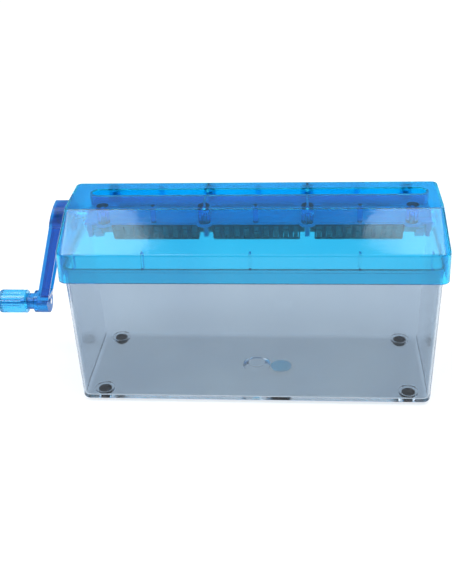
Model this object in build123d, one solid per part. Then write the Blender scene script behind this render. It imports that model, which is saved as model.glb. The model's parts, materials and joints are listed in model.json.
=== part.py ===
"""Small hand-crank paper shredder: a blue cutting head that lifts off a clear catch bin.

Millimetres, +Z up.  X runs along the paper slot with the crank at -X, and -Y is the front.  The
pieces are drawn about the middle of the bin's footprint, on the surface that the feet stand on, and
saved with the origin moved along X to the middle of the whole object, crank included.
"""
from build123d import *
import math
import os

os.makedirs("parts", exist_ok=True)

# ---- catch bin ----
FOOT_HEIGHT = 2.0            # how far the rubber feet stand below the tub
BIN_BASE = (120.9, 43.3)     # half length and half depth at the bottom
BIN_TOP = (122.7, 45.0)      # the same under the rim
BIN_RIM = (123.6, 45.6)      # the same at the small outward rim
BIN_RIM_Z = 107.0
RIM_HEIGHT = 2.0
BIN_WALL = 1.6
BIN_FLOOR = 2.0
BIN_CORNER = 5.5
FOOT_XY = (106.4, 33.2)
FOOT_R = 4.6
POCKET_R = 6.7
POCKET_RISE = 1.8
GATE_R = (10.5, 8.0)         # moulding gate cup in the middle of the floor, bottom and top
GATE_RISE = 3.0
LABEL_XY = (17.8, -2.7)
LABEL_R = 7.5
LABEL_THICK = 0.3

# ---- head cover ----
SKIRT = (126.0, 47.5)        # half length and half depth at the skirt's lower edge
EAVES = (125.5, 47.1)        # where the sloping panels start
RIDGE = (122.2, 21.0)        # the flat top
SKIRT_Z = 97.7
EAVES_Z = 117.8
TOP_Z = 138.7
COVER_WALL = 1.5
COVER_CORNER = 6.5
EAVES_ROUND = 3.0
RIDGE_ROUND = 1.2
ROUND_STEPS = 6
STOP_RIB_X = (0.0, 69.0, 114.0)
STOP_RIB = (1.4, 4.5)        # thickness and how far it stands in from the wall
STOP_GAP = 0.15              # the ribs stop this far above the bin's rim

# ---- cutting mechanism: everything is centred on MECH ----
MECH_X = 2.6
MECH_Y = 6.0
AXIS_Z = 118.0
CENTRE_DISTANCE = 15.0
FRONT_Y = MECH_Y - CENTRE_DISTANCE / 2
REAR_Y = MECH_Y + CENTRE_DISTANCE / 2
SLOT_HALF = 111.5            # half length of the paper slot
SLOT_WIDTH = (11.0, 8.0)     # at the top face and at the bottom of the funnel
FUNNEL_WALL = 1.4
FUNNEL_BOTTOM_Z = 129.6

DISC_R = 9.0
DISC_THICK = 3.0
DISC_PITCH = 6.5
DISCS = 9                    # on each front roller; a rear roller has one fewer
NOTCHES = 6
NOTCH_DEPTH = 0.7
NOTCH_HALF = 0.9
DISC_TURN = 17               # degrees that each disc is turned from the one before
ROLLER_GAP = 0.3             # between a roller's hub and the wall beside it
HUB_R = 5.5
ROLLER_HALF = 28.75
ROLLER_X = (-67.2, 0.0, 67.2)
SHAFT_R = 3.0
SHAFT_FLAT = 2.5             # distance from the axis to the D flat
KEY_CLEARANCE = 0.03
RUNNING_CLEARANCE = 0.05

DECK_TOP_Z = 126.0
DECK_THICK = 1.6
DECK_Y = (-16.0, 28.0)
HOOD_R = (9.5, 10.8)         # inside and outside of the hoods over the rollers
GUIDE_WIDTH = 8.0            # paper gap between the two hoods
FRAME_HALF = 113.6
END_WALL = 2.8
MID_WALL = 3.0
MID_WALL_X = 33.6
WALL_Y = (-8.6, 20.6)
WALL_BOTTOM_Z = 112.0
BOSS_X = (33.6, 100.4)
BOSS_Y = (-15.0, 27.0)
BOSS_R = 4.0
LOBE_R = 5.5
POST_X = (0.0, 67.2)
POST_R = 1.8
PILOT_R = 1.25
SCREW_R = 1.25
SCREW_HEAD = (2.9, 1.8)      # radius and height
SCREW_DEPTH = 5.0            # length of thread in the boss
SCREW_RECESS = (3.2, 0.7, 1.8)   # one bar of the cross recess

BUSH_R = 4.5
BUSH_FLANGE = (5.8, 1.0)
CLIP_R = 5.0
CLIP_THICK = 0.7
CLIP_HOLE_R = 0.7
CLIP_HOLE_OUT = 3.7          # from the shaft's axis to the plier holes
GROOVE_R = 2.2
SHAFT_END = 117.2

COMB_FINGER = 2.7
COMB_INNER_R = HUB_R + 0.4
COMB_RAIL_R = (9.4, 10.3)    # inside and outside of the rail that joins the fingers' lower ends
RAIL_Y = (1.0, 6.5)          # how far out from the axis the rail runs
COMB_BAR = (2.4, 2.6)        # depth and height of the bar under the deck
COMB_END = 0.8               # thickness of the end plates
COMB_CORNER = 3.5
COMB_ROOT = 5.0              # a finger's root starts this far out from the axis, and is this high
FUNNEL_RIB = 1.4             # thickness of the ribs from the funnel to the middle bosses
FUNNEL_RIB_Z = 130.0         # their lower edge, clear of the hoods

# ---- gears ----
MODULE = 1.0
TEETH = 15
PRESSURE_ANGLE = math.radians(20)
TIP_R = 8.4
ROOT_R = 6.2
BACKLASH_ANGLE = math.radians(0.7)
GEAR_X = (104.4, 109.8)
GEAR_HUB_X = 97.0

# ---- crank ----
ARM_HUB_R = 10.6
ARM_HUB_INNER_X = -126.0
ARM_OUTER_X = -138.2         # outer face at ARM_OUTER_Z, from where it slants outwards
ARM_OUTER_Z = 126.3
ARM_SLANT = math.radians(16.3)
ARM_DEPTH = 8.2
ARM_HALF_WIDTH = 8.8
ARM_WEB = 2.0
ARM_FLANGE = 1.8
BOSS_Z = 48.2
END_BOSS_R = 8.2
END_BOSS_X = (-152.4, -162.8)
NECK_R = 6.0
NECK_X = -168.7
GRIP_X = (-169.0, -190.4)
GRIP_R = 8.6
GRIP_FLUTES = 10
AXLE_R = 2.0
CRANK_SCREW_R = 1.2
CRANK_SCREW_HEAD = (3.4, 1.8)    # radius and height
CRANK_SCREW_DEPTH = 8.0      # length of thread in the drive shaft
WASHER_R = 4.4
WASHER_THICK = 0.6
SEAT_X = -136.6              # seat of the sunk crank screw
SEAT_CUP_R = (4.7, 6.3)      # inside and outside of the cup that the screw is sunk in
DRIVE_END_X = -134.0         # crank end of the drive shaft
ARM_SPAN_Z = (BOSS_Z - 12, AXIS_Z + 14)   # heights that the arm's slanting faces are drawn between
GRIP_FLUTE = (2.0, 0.7)      # radius of the flutes and how deep they cut
GRIP_COLLAR = 3.2            # plain length next to the arm
GRIP_SINK = (3.9, 2.6)       # radius and depth of the hollow for the axle's head
AXLE_HEAD = (3.6, 1.8)
AXLE_HEAD_SINK = 0.7         # how far the axle's head lies inside the grip's end

CLEAR = 1.0                  # how far a cutting shape runs past what it cuts
FAR = 40.0                   # half size of a cutting shape that must reach past the whole head
ORIGIN_SHIFT = -(SKIRT[0] + GRIP_X[1]) / 2   # from the bin's middle to the whole object's middle


def save(name, shape):
    """Write one named piece, with the origin under the middle of the whole object."""
    export_step(Pos(ORIGIN_SHIFT, 0, 0) * shape, f"parts/{name}.step")


def slab(half, corner, z):
    """A rounded rectangle of the given half sizes, lying at height z."""
    return Plane.XY.offset(z) * RectangleRounded(2 * half[0], 2 * half[1], corner)


def frustum(low, high):
    """Solid between two rounded rectangles, each given as (half sizes, corner, z)."""
    return loft([slab(*low), slab(*high)], ruled=True)


def x_cylinder(radius, x0, x1, y, z):
    """Cylinder along X from x0 to x1."""
    start = min(x0, x1)
    plane = Plane(origin=(start, y, z), x_dir=(0, 1, 0), z_dir=(1, 0, 0))
    return extrude(plane * Circle(radius), abs(x1 - x0))


def block(x0, x1, y0, y1, z0, z1):
    """Box between two corners."""
    size = Box(abs(x1 - x0), abs(y1 - y0), abs(z1 - z0))
    return Pos((x0 + x1) / 2, (y0 + y1) / 2, (z0 + z1) / 2) * size


def post(radius, x, y, z0, z1):
    """Upright cylinder from z0 to z1."""
    return Pos(x, y, (z0 + z1) / 2) * Cylinder(radius, z1 - z0)


def inset(half, amount):
    return (half[0] - amount, half[1] - amount)


def mirror_signs(values):
    """Each value with both signs, and zero once."""
    return sorted({sign * value for value in values for sign in (-1, 1)})


# ---------------------------------------------------------------- catch bin
def catch_bin():
    """Clear tub with a small rim, foot pockets and a gate cup in its floor."""
    base_z = FOOT_HEIGHT
    rim_low = BIN_RIM_Z - RIM_HEIGHT
    draft_corner = BIN_CORNER + 2.0
    tub = frustum((BIN_BASE, BIN_CORNER, base_z), (BIN_TOP, draft_corner, BIN_RIM_Z))
    tub = fillet(tub.edges().group_by(Axis.Z)[0], 2.0)
    rim = extrude(slab(BIN_RIM, draft_corner + 0.8, rim_low), RIM_HEIGHT)
    floor_z = base_z + BIN_FLOOR
    cavity = frustum((inset(BIN_BASE, BIN_WALL), BIN_CORNER - BIN_WALL, floor_z),
                     (inset(BIN_TOP, BIN_WALL), draft_corner - BIN_WALL, BIN_RIM_Z + 0.01))
    cavity = fillet(cavity.edges().group_by(Axis.Z)[0], 2.6)
    tub = tub + rim - cavity
    for x in (-FOOT_XY[0], FOOT_XY[0]):
        for y in (-FOOT_XY[1], FOOT_XY[1]):
            tub += post(POCKET_R, x, y, floor_z - 0.5, floor_z + POCKET_RISE)
            tub -= post(FOOT_R + 0.1, x, y, base_z - 1, base_z + POCKET_RISE)
    cup = Pos(0, 0, floor_z + GATE_RISE / 2) * Cone(GATE_R[0], GATE_R[1], GATE_RISE)
    hollow = Pos(0, 0, base_z + GATE_RISE / 2) * Cone(GATE_R[0] - 2, GATE_R[1] - 2, GATE_RISE)
    return tub + cup - hollow


def rubber_foot(x, y):
    """Rubber button pressed into a pocket from below."""
    foot = post(FOOT_R, x, y, 0, FOOT_HEIGHT + POCKET_RISE)
    return fillet(foot.edges().group_by(Axis.Z)[0], 0.7)


def floor_label():
    floor_z = FOOT_HEIGHT + BIN_FLOOR
    return post(LABEL_R, LABEL_XY[0], LABEL_XY[1], floor_z, floor_z + LABEL_THICK)


# ---------------------------------------------------------------- head cover
def arc_between(before, corner, after, radius):
    """Points of the round that joins two straight runs of a profile, each point as (half depth, z)."""
    to_before = (Vector(*before) - Vector(*corner)).normalized()
    to_after = (Vector(*after) - Vector(*corner)).normalized()
    half_angle = math.acos(to_before.dot(to_after)) / 2
    middle = (to_before + to_after).normalized() * (radius / math.sin(half_angle))
    centre = Vector(*corner) + middle
    start = to_before * (radius / math.tan(half_angle)) - middle
    end = to_after * (radius / math.tan(half_angle)) - middle
    first = math.atan2(start.Y, start.X)
    sweep = math.atan2(end.Y, end.X) - first
    points = []
    for step in range(ROUND_STEPS + 1):
        angle = first + sweep * step / ROUND_STEPS
        points.append((centre.X + radius * math.cos(angle), centre.Y + radius * math.sin(angle)))
    return points


def cover_outside():
    """Drafted skirt, rounded eaves, sloping panels and a flat top with softened edges."""
    skirt = (SKIRT[1], SKIRT_Z)
    eaves = (EAVES[1], EAVES_Z)
    ridge = (RIDGE[1], TOP_Z)
    eaves_round = arc_between(skirt, eaves, ridge, EAVES_ROUND)
    top_round = arc_between(eaves, ridge, (0, TOP_Z), RIDGE_ROUND)
    sections = [slab(SKIRT, COVER_CORNER, SKIRT_Z)]
    for y, z in eaves_round:
        sections.append(slab((end_face_x(z), y), COVER_CORNER - 0.4, z))
    for y, z in top_round:
        inward = top_round[0][0] - y
        sections.append(slab((end_face_x(z) - inward, y), COVER_CORNER - 3, z))
    return loft(sections, ruled=True)


def end_face_x(z):
    """Half length of the cover at height z."""
    if z < EAVES_Z:
        return EAVES[0] + (SKIRT[0] - EAVES[0]) * (EAVES_Z - z) / (EAVES_Z - SKIRT_Z)
    return EAVES[0] + (RIDGE[0] - EAVES[0]) * (z - EAVES_Z) / (TOP_Z - EAVES_Z)


def cover_inside():
    """Space under the cover, one wall thickness in from the outside."""
    rise = TOP_Z - EAVES_Z
    run = EAVES[1] - RIDGE[1]
    slope = math.atan2(rise, run)
    eaves_drop = COVER_WALL * math.tan((math.pi / 2 - slope) / 2)
    ridge_in = COVER_WALL * math.tan(slope / 2)
    eaves_half = inset(EAVES, COVER_WALL)
    ridge_half = (RIDGE[0] - COVER_WALL, RIDGE[1] - ridge_in)
    low = (inset(SKIRT, COVER_WALL), COVER_CORNER - COVER_WALL, SKIRT_Z - 0.01)
    eaves = (eaves_half, COVER_CORNER - 0.4 - COVER_WALL, EAVES_Z - eaves_drop)
    ridge = (ridge_half, COVER_CORNER - 3 - COVER_WALL, TOP_Z - COVER_WALL)
    return frustum(low, eaves) + frustum(eaves, ridge)


def funnel(wall):
    """Tapering slot body; wall 0 gives the slot itself."""
    half_x = SLOT_HALF + wall
    top_half = SLOT_WIDTH[0] / 2 + wall
    low_half = SLOT_WIDTH[1] / 2 + wall
    reach = 0.0 if wall else 1.0
    low = ((half_x, low_half), low_half - 0.1, FUNNEL_BOTTOM_Z - reach)
    high = ((half_x, top_half), top_half - 0.1, TOP_Z - 0.2 + 2 * reach)
    return Pos(MECH_X, MECH_Y, 0) * frustum(low, high)


def head_cover():
    """Blue shell with the slot funnel, screw bosses, locating posts and stop ribs."""
    outside = cover_outside()
    inner = funnel(FUNNEL_WALL)
    for x in mirror_signs(BOSS_X):
        for y in BOSS_Y:
            inner += post(BOSS_R, MECH_X + x, y, DECK_TOP_Z, TOP_Z)
    for x in mirror_signs(POST_X):
        for y in BOSS_Y:
            inner += post(POST_R, MECH_X + x, y, DECK_TOP_Z, TOP_Z)
    for x in mirror_signs(BOSS_X[:1]):
        middle = MECH_X + x
        half = FUNNEL_RIB / 2
        inner += block(middle - half, middle + half, BOSS_Y[0], BOSS_Y[1], FUNNEL_RIB_Z, TOP_Z)
    rib_z = BIN_RIM_Z + STOP_GAP
    for x in mirror_signs(STOP_RIB_X):
        half = STOP_RIB[0] / 2
        for side in (-1, 1):
            root = side * EAVES[1]
            tip = side * (EAVES[1] - COVER_WALL - STOP_RIB[1])
            inner += block(x - half, x + half, root, tip, rib_z, EAVES_Z)
    cover = outside - cover_inside() + (inner & outside)
    cover -= funnel(0)
    for x in mirror_signs(BOSS_X):
        for y, depth in zip(BOSS_Y, (7.5, SCREW_DEPTH + 0.2)):
            cover -= post(PILOT_R, MECH_X + x, y, DECK_TOP_Z - 1, DECK_TOP_Z + depth)
    return cover - x_cylinder(SHAFT_R + 1.4, -130, -118, REAR_Y, AXIS_Z)


# ---------------------------------------------------------------- frame and its hardware
def cutter_frame():
    """Deck with a hood over each row of rollers, a gap for the paper, and four bearing walls."""
    deck_low = DECK_TOP_Z - DECK_THICK
    left = MECH_X - FRAME_HALF
    right = MECH_X + FRAME_HALF
    frame = block(left, right, DECK_Y[0], DECK_Y[1], deck_low, DECK_TOP_Z)
    for x in mirror_signs(BOSS_X):
        for y in BOSS_Y:
            frame += post(LOBE_R, MECH_X + x, y, deck_low, DECK_TOP_Z)
    guide = (MECH_Y - GUIDE_WIDTH / 2, MECH_Y + GUIDE_WIDTH / 2)
    for y, far in ((FRONT_Y, FRONT_Y - FAR), (REAR_Y, REAR_Y + FAR)):
        hood = x_cylinder(HOOD_R[1], left, right, y, AXIS_Z)
        frame += hood & block(left, right, far, MECH_Y, deck_low, TOP_Z)
    windows = ((-FRAME_HALF + END_WALL, -MID_WALL_X - MID_WALL / 2),
               (-MID_WALL_X + MID_WALL / 2, MID_WALL_X - MID_WALL / 2),
               (MID_WALL_X + MID_WALL / 2, FRAME_HALF - END_WALL))
    for x0, x1 in windows:
        for y in (FRONT_Y, REAR_Y):
            frame -= x_cylinder(HOOD_R[0], MECH_X + x0, MECH_X + x1, y, AXIS_Z)
        frame -= block(MECH_X + x0, MECH_X + x1, guide[0], guide[1], deck_low - 1, TOP_Z)
    frame -= block(left + END_WALL, right - END_WALL, guide[0], guide[1], DECK_TOP_Z, TOP_Z)
    for side in (-1, 1):
        outer = MECH_X + side * FRAME_HALF
        frame += block(outer, outer - side * END_WALL, WALL_Y[0], WALL_Y[1], WALL_BOTTOM_Z, deck_low)
        middle = MECH_X + side * MID_WALL_X
        half = MID_WALL / 2
        frame += block(middle - half, middle + half, WALL_Y[0], WALL_Y[1], WALL_BOTTOM_Z, deck_low)
        for y in (FRONT_Y, REAR_Y):
            frame -= x_cylinder(BUSH_R, outer + side, outer - side * (END_WALL + 1), y, AXIS_Z)
            bore_r = SHAFT_R + RUNNING_CLEARANCE
            frame -= x_cylinder(bore_r, middle - half - 1, middle + half + 1, y, AXIS_Z)
    for x in mirror_signs(BOSS_X):
        for y in BOSS_Y:
            frame -= post(SCREW_R + 0.15, MECH_X + x, y, deck_low - 1, DECK_TOP_Z + 1)
    return frame


def shaft_bushes():
    """Four flanged plastic sleeves in the frame's end walls."""
    bushes = []
    for side in (-1, 1):
        outer = MECH_X + side * FRAME_HALF
        for y in (FRONT_Y, REAR_Y):
            bush = x_cylinder(BUSH_R, outer, outer - side * END_WALL, y, AXIS_Z)
            bush += x_cylinder(BUSH_FLANGE[0], outer, outer + side * BUSH_FLANGE[1], y, AXIS_Z)
            bore_r = SHAFT_R + RUNNING_CLEARANCE
            bush -= x_cylinder(bore_r, outer + side * 2, outer - side * (END_WALL + 1), y, AXIS_Z)
            bushes.append(bush)
    return Compound(bushes)


def frame_screws():
    """Eight pan-head screws that hold the frame up against the cover's bosses."""
    screws = []
    under = DECK_TOP_Z - DECK_THICK
    for x in mirror_signs(BOSS_X):
        for y in BOSS_Y:
            head = post(SCREW_HEAD[0], MECH_X + x, y, under - SCREW_HEAD[1], under)
            head = fillet(head.edges().group_by(Axis.Z)[0], 0.9)
            recess_z = under - SCREW_HEAD[1]
            for turn in (0, 90):
                head -= Pos(MECH_X + x, y, recess_z) * Rot(0, 0, turn) * Box(*SCREW_RECESS)
            screws.append(head + post(SCREW_R, MECH_X + x, y, under, DECK_TOP_Z + SCREW_DEPTH))
    return Compound(screws)


def comb_trim(x_mid, low_z):
    """Tall block as long as a comb with its lower corners rounded."""
    outline = Pos(x_mid, low_z + FAR / 2) * RectangleRounded(2 * ROLLER_HALF, FAR, COMB_CORNER)
    return extrude(Plane.XZ.offset(-FAR) * outline, 2 * FAR, dir=(0, -1, 0))


def stripper_comb(centre, front):
    """Cage of fingers in a roller's gaps, joined by a bar under the deck and a rail below."""
    side = -1 if front else 1
    y_axis = FRONT_Y if front else REAR_Y
    gaps = DISCS - 1 if front else DISCS - 2
    bar_top = DECK_TOP_Z - DECK_THICK
    low_z = AXIS_Z - COMB_RAIL_R[1]
    x_mid = MECH_X + centre
    x0, x1 = x_mid - ROLLER_HALF, x_mid + ROLLER_HALF
    bar_in = y_axis + side * COMB_RAIL_R[0]
    bar_out = bar_in + side * COMB_BAR[0]
    comb = block(x0, x1, bar_in, bar_out, bar_top - COMB_BAR[1], bar_top)
    rail = x_cylinder(COMB_RAIL_R[1], x0, x1, y_axis, AXIS_Z)
    rail -= x_cylinder(COMB_RAIL_R[0], x0, x1, y_axis, AXIS_Z)
    comb += rail & block(x0, x1, y_axis + side * RAIL_Y[0], y_axis + side * RAIL_Y[1], low_z - CLEAR, AXIS_Z)
    fingers = [((index - (gaps - 1) / 2) * DISC_PITCH, COMB_FINGER) for index in range(gaps)]
    ends = [(sign * (ROLLER_HALF - COMB_END / 2), COMB_END) for sign in (-1, 1)]
    for x, width in fingers + ends:
        low, high = x_mid + x - width / 2, x_mid + x + width / 2
        ring = x_cylinder(COMB_RAIL_R[1], low, high, y_axis, AXIS_Z)
        finger = ring & block(low, high, y_axis, bar_out, low_z - CLEAR, bar_top)
        finger += block(low, high, y_axis + side * COMB_ROOT, bar_out, bar_top - COMB_ROOT, bar_top)
        comb += finger - x_cylinder(COMB_INNER_R, low - CLEAR, high + CLEAR, y_axis, AXIS_Z)
    return comb & comb_trim(x_mid, low_z)


# ---------------------------------------------------------------- shafts, rollers and gears
def d_section(radius, flat):
    """Round bar section with one flat, drawn in the plane across the shaft."""
    cut = Pos(0, flat + radius) * Rectangle(4 * radius, 2 * radius)
    return Circle(radius) - cut


def across(x, y):
    """Plane across a shaft at x, with its local y upwards."""
    return Plane(origin=(x, y, AXIS_Z), x_dir=(0, 1, 0), z_dir=(1, 0, 0))


def shaft(y, x0, x1, grooves):
    bar = extrude(across(x0, y) * d_section(SHAFT_R, SHAFT_FLAT), x1 - x0)
    for x in grooves:
        ring = x_cylinder(SHAFT_R + 1, x, x + CLIP_THICK, y, AXIS_Z)
        bar -= ring - x_cylinder(GROOVE_R, x, x + CLIP_THICK, y, AXIS_Z)
    return bar


def key_bore(y, x0, x1):
    section = d_section(SHAFT_R + KEY_CLEARANCE, SHAFT_FLAT + KEY_CLEARANCE)
    return extrude(across(x0, y) * section, x1 - x0)


def cutting_disc(x, y, turn):
    """One disc with small V notches that pull the paper in."""
    outline = Circle(DISC_R)
    mouth = DISC_R + CLEAR / 2
    for index in range(NOTCHES):
        v = Polygon((DISC_R - NOTCH_DEPTH, 0), (mouth, -NOTCH_HALF), (mouth, NOTCH_HALF), align=None)
        outline -= Rot(0, 0, turn + 360 / NOTCHES * index) * v
    return extrude(across(x - DISC_THICK / 2, y) * outline, DISC_THICK)


def cutter_roller(centre, front):
    """Row of discs on one hub; front and rear rows are offset so that they interleave."""
    y = FRONT_Y if front else REAR_Y
    count = DISCS if front else DISCS - 1
    inner_end = MID_WALL_X - MID_WALL / 2 - ROLLER_GAP
    if centre == 0:
        x0, x1 = -inner_end, inner_end
    else:
        near = MID_WALL_X + MID_WALL / 2 + ROLLER_GAP
        x0, x1 = sorted((math.copysign(near, centre), math.copysign(GEAR_HUB_X, centre)))
    roller = x_cylinder(HUB_R, MECH_X + x0, MECH_X + x1, y, AXIS_Z)
    for index in range(count):
        x = MECH_X + centre + (index - (count - 1) / 2) * DISC_PITCH
        roller += cutting_disc(x, y, DISC_TURN * index)
    return roller - key_bore(y, MECH_X + x0 - 1, MECH_X + x1 + 1)


def involute_flank():
    """Points of one tooth flank as (radius, angle from the tooth's middle)."""
    pitch_r = MODULE * TEETH / 2
    base_r = pitch_r * math.cos(PRESSURE_ANGLE)
    half_tooth = math.pi / (2 * TEETH) - BACKLASH_ANGLE
    inv_pitch = math.tan(PRESSURE_ANGLE) - PRESSURE_ANGLE
    flank = []
    steps = 5
    for step in range(steps + 1):
        radius = base_r + (TIP_R - base_r) * step / steps
        roll = math.acos(base_r / radius)
        flank.append((radius, half_tooth + inv_pitch - (math.tan(roll) - roll)))
    return [(ROOT_R, flank[0][1])] + flank


def spur_gear(side, y):
    """Involute gear with a hub that reaches in to the outer roller."""
    flank = involute_flank()
    points = []
    for tooth in range(TEETH):
        middle = 2 * math.pi * tooth / TEETH
        for radius, angle in flank:
            points.append((radius * math.cos(middle - angle), radius * math.sin(middle - angle)))
        for radius, angle in reversed(flank):
            points.append((radius * math.cos(middle + angle), radius * math.sin(middle + angle)))
    x0, x1 = sorted((MECH_X + side * GEAR_X[0], MECH_X + side * GEAR_X[1]))
    outline = make_face(Polyline(*points, close=True))
    gear = extrude(across(x0, y) * outline, x1 - x0)
    gear += x_cylinder(HUB_R, MECH_X + side * GEAR_HUB_X, MECH_X + side * GEAR_X[0], y, AXIS_Z)
    hub0, hub1 = sorted((MECH_X + side * (GEAR_HUB_X - 1), MECH_X + side * (GEAR_X[1] + 1)))
    return gear - key_bore(y, hub0, hub1)


def shaft_clips(y):
    """Retaining clips in the grooves at both ends of a shaft, open on one side."""
    clips = []
    for x in groove_places():
        ring = x_cylinder(CLIP_R, x, x + CLIP_THICK, y, AXIS_Z)
        ring -= x_cylinder(GROOVE_R, x - 1, x + 2, y, AXIS_Z)
        mouth = block(x - 1, x + 2, y - GROOVE_R * 0.9, y + GROOVE_R * 0.9, AXIS_Z - CLIP_R - 1, AXIS_Z)
        ring -= mouth
        for angle in (35, 145):
            hole_y = y + CLIP_HOLE_OUT * math.cos(math.radians(angle))
            hole_z = AXIS_Z + CLIP_HOLE_OUT * math.sin(math.radians(angle))
            ring -= x_cylinder(CLIP_HOLE_R, x - CLEAR, x + 2 * CLEAR, hole_y, hole_z)
        clips.append(ring)
    return Compound(clips)


def groove_places():
    """Low-X side of the left and right clip grooves."""
    outside = FRAME_HALF + BUSH_FLANGE[1] + 0.2
    return (MECH_X - outside - CLIP_THICK, MECH_X + outside)


# ---------------------------------------------------------------- crank
def outer_x(z):
    """Outside face of the sloping arm at height z."""
    return ARM_OUTER_X - (ARM_OUTER_Z - z) * math.tan(ARM_SLANT)


def along_x(section, x0, x1):
    """Section drawn in (y, z) about the drive axis's plane, carried from x0 to x1."""
    plane = Plane(origin=(x0, REAR_Y, 0), x_dir=(0, 1, 0), z_dir=(1, 0, 0))
    return extrude(plane * section, x1 - x0, dir=(1, 0, 0))


def slanted_slab(outer_shift, inner_line):
    """Everything between the arm's slanting outer face and an inner line of (x, z) points."""
    low_z, high_z = ARM_SPAN_Z
    outline = [(outer_x(low_z) + outer_shift, low_z), *inner_line, (outer_x(high_z) + outer_shift, high_z)]
    face = make_face(Polyline(*outline, close=True))
    return extrude(Plane.XZ.offset(-REAR_Y - FAR) * face, 2 * FAR, dir=(0, -1, 0))


def arm_body(inset_by, web, reach):
    """Link and hub drum; inset_by, web and reach make the hollow inside them."""
    low_z, high_z = ARM_SPAN_Z
    top = ARM_HALF_WIDTH - inset_by
    low = END_BOSS_R - inset_by
    link = Polygon((-top, AXIS_Z), (-low, BOSS_Z), (low, BOSS_Z), (top, AXIS_Z), align=None)
    link_edge = ((outer_x(low_z) + ARM_DEPTH + reach, low_z), (outer_x(high_z) + ARM_DEPTH + reach, high_z))
    hub_edge = ((ARM_HUB_INNER_X + reach, low_z), (ARM_HUB_INNER_X + reach, high_z))
    body = along_x(link, -200, -120) & slanted_slab(web, link_edge)
    hub = x_cylinder(ARM_HUB_R - inset_by, -200, -110, REAR_Y, AXIS_Z)
    return body + (hub & slanted_slab(web, hub_edge))


def crank_arm():
    """Channel arm: hub on the drive shaft, open towards the head, boss and neck at its end."""
    outside = arm_body(0, 0, 0)
    pocket = arm_body(ARM_FLANGE, ARM_WEB, 3)
    pocket -= block(-200, -100, REAR_Y - FAR, REAR_Y + FAR, 0, BOSS_Z + END_BOSS_R - 1)
    arm = outside - pocket
    cup_in, cup_out = SEAT_CUP_R
    arm += x_cylinder(HUB_R, ARM_HUB_INNER_X, SEAT_X, REAR_Y, AXIS_Z)
    arm += outside & x_cylinder(cup_out, SEAT_X + ARM_WEB, SEAT_X - FAR, REAR_Y, AXIS_Z)
    arm -= x_cylinder(cup_in, SEAT_X, SEAT_X - FAR, REAR_Y, AXIS_Z)
    arm += x_cylinder(END_BOSS_R, END_BOSS_X[0], END_BOSS_X[1], REAR_Y, BOSS_Z)
    arm += x_cylinder(NECK_R, END_BOSS_X[1], NECK_X, REAR_Y, BOSS_Z)
    arm -= key_bore(REAR_Y, DRIVE_END_X, ARM_HUB_INNER_X + CLEAR)
    arm -= x_cylinder(CRANK_SCREW_R + 0.2, DRIVE_END_X + CLEAR, SEAT_X - CLEAR, REAR_Y, AXIS_Z)
    return arm - x_cylinder(AXLE_R, END_BOSS_X[0] + CLEAR, NECK_X - CLEAR, REAR_Y, BOSS_Z)


def crank_grip():
    """Turning grip: fluted barrel with a collar near the arm and a rounded far end."""
    inner_end, far_end = GRIP_X
    barrel = x_cylinder(GRIP_R, far_end, inner_end, REAR_Y, BOSS_Z)
    barrel = fillet(barrel.edges().group_by(Axis.X)[0], 3.0)
    barrel = fillet(barrel.edges().group_by(Axis.X)[-1], 0.8)
    flute_r, flute_depth = GRIP_FLUTE
    reach = GRIP_R + flute_r - flute_depth
    for index in range(GRIP_FLUTES):
        angle = 2 * math.pi * index / GRIP_FLUTES
        y = REAR_Y + reach * math.cos(angle)
        z = BOSS_Z + reach * math.sin(angle)
        barrel -= x_cylinder(flute_r, far_end - CLEAR, inner_end - GRIP_COLLAR, y, z)
    barrel -= x_cylinder(AXLE_R + RUNNING_CLEARANCE, far_end - CLEAR, inner_end + CLEAR, REAR_Y, BOSS_Z)
    return barrel - x_cylinder(GRIP_SINK[0], far_end - CLEAR, far_end + GRIP_SINK[1], REAR_Y, BOSS_Z)


def grip_axle():
    """Steel pin fixed in the end boss; its head holds the grip on."""
    face = GRIP_X[1] + AXLE_HEAD_SINK
    pin = x_cylinder(AXLE_R, END_BOSS_X[0] + CLEAR, face + CLEAR, REAR_Y, BOSS_Z)
    head = x_cylinder(AXLE_HEAD[0], face + AXLE_HEAD[1], face, REAR_Y, BOSS_Z)
    head = fillet(head.edges().group_by(Axis.X)[0], 0.9)
    return pin + head - Pos(face, REAR_Y, BOSS_Z) * Box(1.2, 0.8, 3 * AXLE_HEAD[0])


def crank_screw():
    """Screw sunk in the arm's hub, through its washer into the end of the drive shaft."""
    under = SEAT_X - WASHER_THICK
    top = under - CRANK_SCREW_HEAD[1]
    head = x_cylinder(CRANK_SCREW_HEAD[0], under, top, REAR_Y, AXIS_Z)
    head = fillet(head.edges().group_by(Axis.X)[0], 0.8)
    for size in ((1.6, 0.8, 3.6), (1.6, 3.6, 0.8)):
        head -= Pos(top, REAR_Y, AXIS_Z) * Box(*size)
    return head + x_cylinder(CRANK_SCREW_R, under, DRIVE_END_X + CRANK_SCREW_DEPTH, REAR_Y, AXIS_Z)


def crank_washer():
    washer = x_cylinder(WASHER_R, SEAT_X, SEAT_X - WASHER_THICK, REAR_Y, AXIS_Z)
    return washer - x_cylinder(CRANK_SCREW_R + 0.2, SEAT_X + CLEAR, SEAT_X - 2 * CLEAR, REAR_Y, AXIS_Z)


save("catch_bin", catch_bin())
for x_name, x in (("left", -FOOT_XY[0]), ("right", FOOT_XY[0])):
    for y_name, y in (("front", -FOOT_XY[1]), ("rear", FOOT_XY[1])):
        save(f"foot_{y_name}_{x_name}", rubber_foot(x, y))
save("floor_label", floor_label())

save("head_cover", head_cover())
save("cutter_frame", cutter_frame())
save("shaft_bushes", shaft_bushes())
save("frame_screws", frame_screws())

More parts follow.
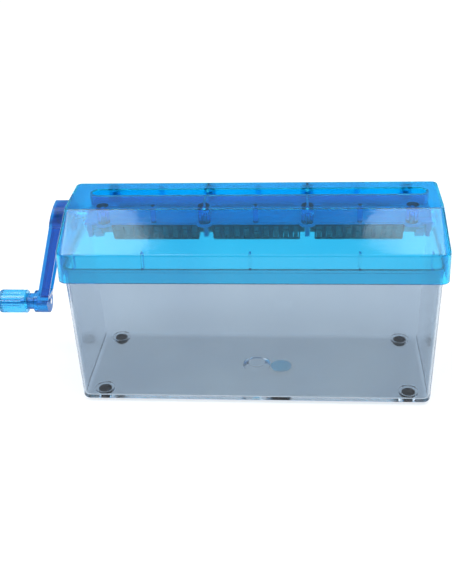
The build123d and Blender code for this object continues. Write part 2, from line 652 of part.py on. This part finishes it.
for name, centre in zip(("left", "middle", "right"), ROLLER_X):
    save(f"comb_front_{name}", stripper_comb(centre, True))
    save(f"comb_rear_{name}", stripper_comb(centre, False))
    save(f"roller_front_{name}", cutter_roller(centre, True))
    save(f"roller_rear_{name}", cutter_roller(centre, False))

LEFT_END = MECH_X - SHAFT_END
RIGHT_END = MECH_X + SHAFT_END
drive = shaft(REAR_Y, DRIVE_END_X, RIGHT_END, groove_places())
hole_end = DRIVE_END_X + CRANK_SCREW_DEPTH + CLEAR
drive -= x_cylinder(CRANK_SCREW_R, DRIVE_END_X - CLEAR, hole_end, REAR_Y, AXIS_Z)
save("drive_shaft", drive)
save("driven_shaft", shaft(FRONT_Y, LEFT_END, RIGHT_END, groove_places()))
for name, side in (("left", -1), ("right", 1)):
    save(f"drive_gear_{name}", spur_gear(side, REAR_Y))
    save(f"driven_gear_{name}", spur_gear(side, FRONT_Y))
save("drive_shaft_clips", shaft_clips(REAR_Y))
save("driven_shaft_clips", shaft_clips(FRONT_Y))

save("crank_arm", crank_arm())
save("crank_screw", crank_screw())
save("crank_washer", crank_washer())
save("grip_axle", grip_axle())
save("crank_grip", crank_grip())
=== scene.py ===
"""Looks of the small hand-crank paper shredder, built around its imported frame."""
import json
import math

import bmesh
import bpy
from mathutils import Matrix, Vector


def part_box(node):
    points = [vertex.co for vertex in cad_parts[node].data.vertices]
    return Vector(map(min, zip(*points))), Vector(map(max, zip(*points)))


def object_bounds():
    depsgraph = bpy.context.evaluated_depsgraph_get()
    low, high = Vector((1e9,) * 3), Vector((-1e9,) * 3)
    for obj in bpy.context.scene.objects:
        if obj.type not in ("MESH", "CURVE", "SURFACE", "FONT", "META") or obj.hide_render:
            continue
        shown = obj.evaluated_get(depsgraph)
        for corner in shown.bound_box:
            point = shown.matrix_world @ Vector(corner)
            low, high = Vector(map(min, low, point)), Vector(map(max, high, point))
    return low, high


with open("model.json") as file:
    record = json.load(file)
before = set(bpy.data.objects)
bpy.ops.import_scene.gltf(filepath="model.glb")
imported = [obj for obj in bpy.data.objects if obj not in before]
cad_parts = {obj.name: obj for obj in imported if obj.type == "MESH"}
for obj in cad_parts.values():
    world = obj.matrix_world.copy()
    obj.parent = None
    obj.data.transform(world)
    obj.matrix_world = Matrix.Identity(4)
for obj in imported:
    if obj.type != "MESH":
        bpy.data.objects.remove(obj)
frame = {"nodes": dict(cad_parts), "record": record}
CAD_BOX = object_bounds()
NODES = frame["nodes"]
BIN_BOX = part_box("catch_bin")
BIN_X = (BIN_BOX[0][0] + BIN_BOX[1][0]) / 2      # the middle of the bin, which the stage is set around
BOUNCES = 48                 # limit on a path's reflections and refractions
EDGE_SCUFF = 0.12            # how much rougher worn edges are


# ---------------------------------------------------------------- node helpers
def new_material(name):
    """Empty node material with an output and a Principled shader."""
    material = bpy.data.materials.new(name)
    material.use_nodes = True
    tree = material.node_tree
    tree.nodes.clear()
    output = tree.nodes.new("ShaderNodeOutputMaterial")
    shader = tree.nodes.new("ShaderNodeBsdfPrincipled")
    tree.links.new(shader.outputs["BSDF"], output.inputs["Surface"])
    return material, tree, shader


def noise(tree, scale, detail=3.0, roughness=0.55, stretch=(1, 1, 1)):
    """Noise in the object's own metres; stretch squeezes it along an axis."""
    coords = tree.nodes.new("ShaderNodeTexCoord")
    mapping = tree.nodes.new("ShaderNodeMapping")
    mapping.inputs["Scale"].default_value = stretch
    texture = tree.nodes.new("ShaderNodeTexNoise")
    texture.inputs["Scale"].default_value = scale
    texture.inputs["Detail"].default_value = detail
    texture.inputs["Roughness"].default_value = roughness
    tree.links.new(coords.outputs["Object"], mapping.inputs["Vector"])
    tree.links.new(mapping.outputs["Vector"], texture.inputs["Vector"])
    return texture.outputs["Fac"]


def as_colour(value):
    """Plain number or RGB triple as RGBA."""
    if isinstance(value, (tuple, list)):
        return (*value, 1)
    return (value, value, value, 1)


def ramp(tree, source, low, high, low_at=0.35, high_at=0.65):
    """Colour ramp between two colours or two plain numbers."""
    node = tree.nodes.new("ShaderNodeValToRGB")
    node.color_ramp.elements[0].position = low_at
    node.color_ramp.elements[1].position = high_at
    node.color_ramp.elements[0].color = as_colour(low)
    node.color_ramp.elements[1].color = as_colour(high)
    tree.links.new(source, node.inputs["Fac"])
    return node.outputs["Color"]


def mix(tree, factor, first, second):
    """Blend of two colour sockets by a factor socket."""
    node = tree.nodes.new("ShaderNodeMix")
    node.data_type = "RGBA"
    tree.links.new(factor, node.inputs["Factor"])
    tree.links.new(first, node.inputs["A"])
    tree.links.new(second, node.inputs["B"])
    return node.outputs["Result"]


def bump(tree, shader, height, strength, distance):
    node = tree.nodes.new("ShaderNodeBump")
    node.inputs["Strength"].default_value = strength
    node.inputs["Distance"].default_value = distance
    tree.links.new(height, node.inputs["Height"])
    tree.links.new(node.outputs["Normal"], shader.inputs["Normal"])


def edges(tree, start=0.52, end=0.60):
    """Nearly 1 on the outer edges, where hands and cloths wear a surface, and 0 elsewhere."""
    geometry = tree.nodes.new("ShaderNodeNewGeometry")
    return ramp(tree, geometry.outputs["Pointiness"], 0.0, 1.0, start, end)


def constant(tree, value):
    """Plain number or colour as a colour socket."""
    node = tree.nodes.new("ShaderNodeRGB")
    node.outputs["Color"].default_value = as_colour(value)
    return node.outputs["Color"]


def clear_plastic(name, low, high, transmission, rough, ior=1.49):
    """Moulded see-through plastic: faint flow streaks, handling marks in the gloss, mould texture."""
    material, tree, shader = new_material(name)
    streaks = noise(tree, 14, 2, 0.5, (1, 1, 0.35))
    tree.links.new(ramp(tree, streaks, low, high), shader.inputs["Base Color"])
    smears = ramp(tree, noise(tree, 55, 5, 0.6), rough[0], rough[1], 0.4, 0.7)
    scuffed = constant(tree, rough[1] + EDGE_SCUFF)
    tree.links.new(mix(tree, edges(tree), smears, scuffed), shader.inputs["Roughness"])
    shader.inputs["Transmission Weight"].default_value = transmission
    shader.inputs["IOR"].default_value = ior
    bump(tree, shader, noise(tree, 160, 2), 0.05, 0.0004)
    return material


def solid_plastic(name, low, high, rough, grain=900, grain_depth=0.00006):
    """Opaque moulded plastic with fine mould grain."""
    material, tree, shader = new_material(name)
    body = ramp(tree, noise(tree, 40), low, high)
    worn = constant(tree, tuple(min(1.0, 1.5 * channel + 0.01) for channel in high))
    tree.links.new(mix(tree, edges(tree), body, worn), shader.inputs["Base Color"])
    tree.links.new(ramp(tree, noise(tree, 90, 4), rough[0], rough[1]), shader.inputs["Roughness"])
    bump(tree, shader, noise(tree, grain, 2), 0.35, grain_depth)
    return material


def machined_metal(name, low, high, rough, stretch=(1, 1, 1), scale=300):
    """Metal with turning marks, stretched along the axis it was turned on."""
    material, tree, shader = new_material(name)
    marks = noise(tree, scale, 4, 0.6, stretch)
    body = ramp(tree, marks, low, high)
    rubbed = constant(tree, tuple(min(1.0, 1.6 * channel) for channel in high))
    tree.links.new(mix(tree, edges(tree), body, rubbed), shader.inputs["Base Color"])
    tree.links.new(ramp(tree, marks, rough[0], rough[1]), shader.inputs["Roughness"])
    shader.inputs["Metallic"].default_value = 1.0
    bump(tree, shader, marks, 0.25, 0.00005)
    return material


def paper_label(name):
    material, tree, shader = new_material(name)
    fibres = noise(tree, 700, 4, 0.7)
    tree.links.new(ramp(tree, fibres, (0.92, 0.94, 0.96), (0.97, 0.98, 0.99)), shader.inputs["Base Color"])
    tree.links.new(ramp(tree, fibres, 0.5, 0.75), shader.inputs["Roughness"])
    bump(tree, shader, fibres, 0.3, 0.00004)
    return material


MATERIALS = {
    "clear_bin": clear_plastic("bin_clear", (0.55, 0.62, 0.69), (0.59, 0.66, 0.72), 1.0, (0.02, 0.09), 1.36),
    "blue_clear": clear_plastic("head_blue", (0.015, 0.60, 0.95), (0.03, 0.66, 0.99), 0.97, (0.04, 0.14)),
    "foot_rubber": solid_plastic("foot_rubber", (0.010, 0.011, 0.013), (0.028, 0.029, 0.032), (0.55, 0.8)),
    "label_paper": paper_label("label_paper"),
    "black_plastic": solid_plastic("comb_black", (0.006, 0.008, 0.012), (0.016, 0.019, 0.026), (0.45, 0.7)),
    "cutter_steel": machined_metal("cutter_steel", (0.045, 0.040, 0.038), (0.13, 0.12, 0.115), (0.3, 0.55),
                                   (6, 1, 1)),
    "white_nylon": solid_plastic("gear_nylon", (0.38, 0.39, 0.41), (0.5, 0.51, 0.53), (0.35, 0.55)),
    "bright_steel": machined_metal("bright_steel", (0.50, 0.51, 0.53), (0.72, 0.73, 0.75), (0.18, 0.36),
                                   (8, 1, 1)),
}


def dress(node_name, material):
    """Give a CAD node its material."""
    mesh = NODES[node_name].data
    mesh.materials.clear()
    mesh.materials.append(material)


for subpart in frame["record"]["subparts"]:
    dress(subpart["node"], MATERIALS[subpart["material_slot"]])

# the frame is a milkier blue that hides the rollers from above; the crank's thick walls look deeper
dress("cutter_frame", clear_plastic("frame_blue", (0.012, 0.60, 0.95), (0.020, 0.66, 0.98),
                                   0.40, (0.10, 0.22), 1.36))
dress("crank_arm", clear_plastic("arm_blue", (0.006, 0.23, 0.66), (0.012, 0.30, 0.74),
                                0.88, (0.05, 0.18), 1.36))
dress("crank_grip", clear_plastic("grip_blue", (0.030, 0.45, 0.84), (0.050, 0.52, 0.90),
                                 0.94, (0.08, 0.22)))


# ---------------------------------------------------------------- stage, light and camera
FLOOR_HALF = 6.0
FLOOR_GAP = 0.0002           # keeps the floor just under the feet
FLOOR_GLOW = 0.68            # the floor is a light table, so it stays white under the clear bin


def add_floor():
    """Plain pale floor, lit a little from below like a light table."""
    mesh = bpy.data.meshes.new("floor")
    shape = bmesh.new()
    bmesh.ops.create_grid(shape, x_segments=2, y_segments=2, size=FLOOR_HALF)
    shape.to_mesh(mesh)
    shape.free()
    floor = bpy.data.objects.new("floor", mesh)
    bpy.context.scene.collection.objects.link(floor)
    floor.location.z = CAD_BOX[0][2] - FLOOR_GAP
    material, tree, shader = new_material("floor_pale")
    tree.links.new(ramp(tree, noise(tree, 3), (0.40, 0.40, 0.405), (0.43, 0.43, 0.432)),
                   shader.inputs["Base Color"])
    shader.inputs["Roughness"].default_value = 0.9
    shader.inputs["Specular IOR Level"].default_value = 0.0
    shader.inputs["Emission Color"].default_value = (0.95, 0.98, 1.0, 1)
    shader.inputs["Emission Strength"].default_value = FLOOR_GLOW
    mesh.materials.append(material)


def add_area(name, place, aim, size, power):
    data = bpy.data.lights.new(name, "AREA")
    data.shape = "RECTANGLE"
    data.size, data.size_y = size
    data.energy = power
    lamp = bpy.data.objects.new(name, data)
    bpy.context.scene.collection.objects.link(lamp)
    lamp.location = place
    lamp.rotation_euler = (Vector(aim) - Vector(place)).to_track_quat("-Z", "Y").to_euler()


WORLD_HORIZON = (0.78, 0.80, 0.82)   # the floor's white carries on past its far edge
WORLD_LOW = (0.16, 0.25, 0.42)
WORLD_TOP = (0.35, 0.42, 0.50)   # a dimmer patch straight above, where the sloping panels reflect
WORLD_HIGH = (1.0, 1.0, 1.0)
WORLD_STRENGTH = 1.35


def add_world():
    """Studio dome: bright overhead, dim blue-grey lower down, so that clear edges read dark."""
    world = bpy.data.worlds.new("studio")
    bpy.context.scene.world = world
    world.use_nodes = True
    tree = world.node_tree
    coords = tree.nodes.new("ShaderNodeTexCoord")
    split = tree.nodes.new("ShaderNodeSeparateXYZ")
    tree.links.new(coords.outputs["Generated"], split.inputs["Vector"])
    dome = ramp(tree, split.outputs["Z"], WORLD_LOW, WORLD_HIGH, 0.45, 0.72)
    for position, colour in ((0.03, WORLD_HORIZON), (0.10, WORLD_LOW)):
        stop = dome.node.color_ramp.elements.new(position)
        stop.color = colour + (1,)
    zenith = dome.node.color_ramp.elements.new(0.93)
    zenith.color = WORLD_HIGH + (1,)
    top = dome.node.color_ramp.elements.new(0.97)
    top.color = WORLD_TOP + (1,)
    background = tree.nodes["Background"]
    tree.links.new(dome, background.inputs["Color"])
    background.inputs["Strength"].default_value = WORLD_STRENGTH


CAMERA_PLACE = (BIN_X + 0.0330, -0.5455, 0.3809)
CAMERA_YAW = math.radians(-5.597)
CAMERA_PITCH = math.radians(30.0)
CAMERA_ROLL = math.radians(-2.58)
CAMERA_LENS = 55.43


def add_camera():
    """Camera looking down on the front, turned a little to the left and rolled slightly."""
    data = bpy.data.cameras.new("camera")
    data.lens = CAMERA_LENS
    data.sensor_width = 36.0
    data.clip_end = 20.0
    camera = bpy.data.objects.new("camera", data)
    bpy.context.scene.collection.objects.link(camera)
    ahead = Vector((math.sin(CAMERA_YAW) * math.cos(CAMERA_PITCH),
                    math.cos(CAMERA_YAW) * math.cos(CAMERA_PITCH), -math.sin(CAMERA_PITCH)))
    right = ahead.cross(Vector((0, 0, 1))).normalized()
    up = right.cross(ahead)
    side = right * math.cos(CAMERA_ROLL) + up * math.sin(CAMERA_ROLL)
    top = up * math.cos(CAMERA_ROLL) - right * math.sin(CAMERA_ROLL)
    turn = Matrix((side, top, -ahead)).transposed().to_4x4()
    camera.matrix_world = Matrix.Translation(CAMERA_PLACE) @ turn
    bpy.context.scene.camera = camera


AIM = (BIN_X, 0, 0.1)

add_floor()
add_world()
add_area("key", (BIN_X - 0.6, -0.7, 1.1), AIM, (0.9, 0.9), 4)
add_area("rim", (BIN_X + 0.7, 0.6, 0.9), AIM, (0.8, 0.5), 3)
# two soft boxes overhead, which the sloping front panel mirrors at its two ends
for name, across in (("soft_left", -0.52), ("soft_right", 0.42)):
    add_area(name, (BIN_X + across, -0.27, 1.08), AIM, (0.34, 0.50), 2.0)
add_camera()
bpy.context.scene.view_settings.view_transform = "Standard"
# light guided inside a clear wall is reflected many times, and each reflection is a glossy bounce
bpy.context.scene.cycles.max_bounces = BOUNCES
bpy.context.scene.cycles.transmission_bounces = BOUNCES
bpy.context.scene.cycles.glossy_bounces = BOUNCES
